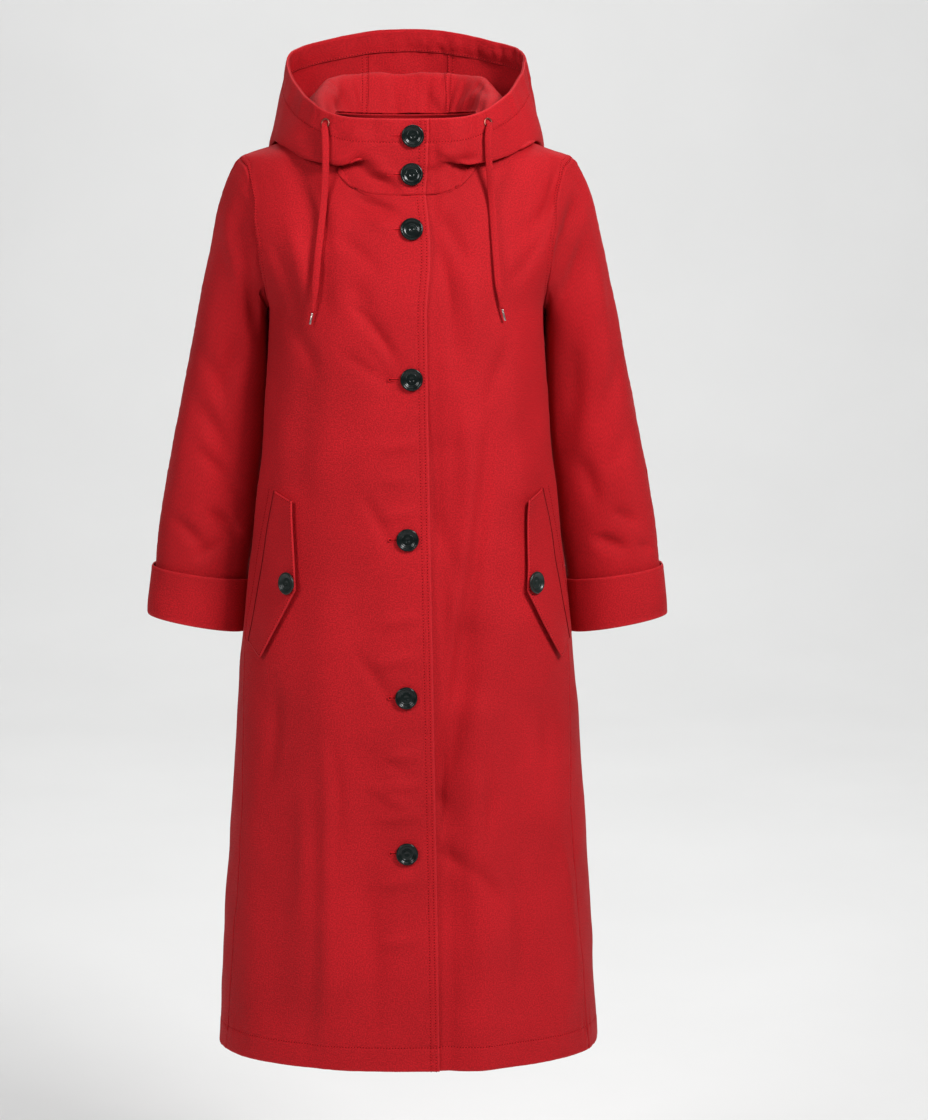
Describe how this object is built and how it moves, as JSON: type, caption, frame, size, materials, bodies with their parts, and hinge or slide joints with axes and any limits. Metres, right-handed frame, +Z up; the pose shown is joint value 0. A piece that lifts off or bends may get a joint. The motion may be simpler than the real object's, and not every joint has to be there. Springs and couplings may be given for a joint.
{
  "type": "hooded trench coat",
  "caption": "Long A-line hooded cotton coat in its worn, hollow form, buttoned up, with turned-up cuffs, slanted pocket flaps and hanging drawstrings.",
  "frame": {"origin": "middle of the neck opening, where a wearer's neck and shoulders hold the coat up", "axes": "+Z up along the wearer, front of the coat faces -Y, the wearer's left is +X"},
  "size_m": [0.6508, 0.3268, 1.2596],
  "materials": {
    "twill": "matt red cotton twill",
    "button": "dark polished resin with a raised rim",
    "drawstring": "flat tube of the coat's own red twill",
    "metal": "pale warm metal"
  },
  "bodies": {
    "root": {"front_right": "twill", "front_left": "twill", "back": "twill", "sleeve_right_front": "twill", "sleeve_right_back": "twill", "sleeve_left_front": "twill", "sleeve_left_back": "twill", "cuff_right": "twill", "cuff_left": "twill", "hood_right": "twill", "hood_centre": "twill", "hood_left": "twill", "hood_channel": "twill", "flap_right": "twill", "flap_left": "twill", "button_1": "button", "button_2": "button", "button_3": "button", "button_4": "button", "button_5": "button", "button_6": "button", "button_7": "button", "button_pocket_right": "button", "button_pocket_left": "button", "cord_right": "drawstring", "cord_left": "drawstring", "aglet_right": "metal", "aglet_left": "metal", "eyelet_right": "metal", "eyelet_left": "metal"}
  },
  "joints": []
}
